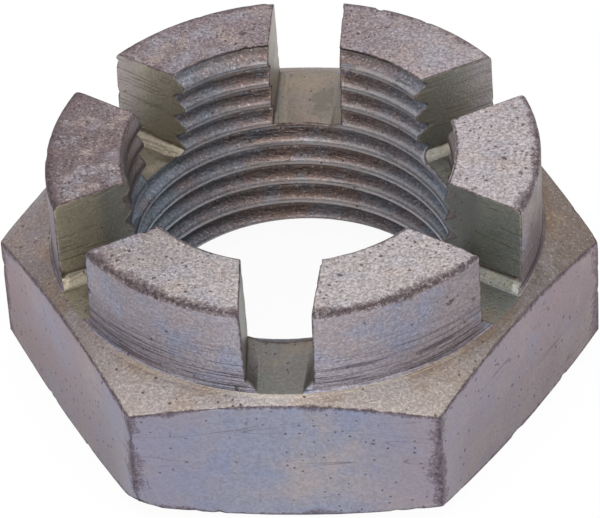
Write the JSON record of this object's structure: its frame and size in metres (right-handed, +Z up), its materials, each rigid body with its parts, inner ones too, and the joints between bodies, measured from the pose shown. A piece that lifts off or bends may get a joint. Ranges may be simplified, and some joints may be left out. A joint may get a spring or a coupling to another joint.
{
  "type": "castle nut",
  "caption": "Low castle nut: a hexagon nut with a slotted crown that a split pin locks, bored for a metric fine thread.",
  "frame": {"origin": "centre of the bearing face (underside), on the axis of the bore", "axes": "+Z up along the bore from the bearing face to the crown; a flat and a slot face -Y, and corners of the hexagon lie on +X and -X"},
  "size_m": [0.0346, 0.03, 0.0144],
  "materials": {
    "zinc_plated_steel": "worn zinc plate, satin, turned lines and small pits"
  },
  "bodies": {
    "root": {"castle_nut": "zinc_plated_steel"}
  },
  "joints": []
}
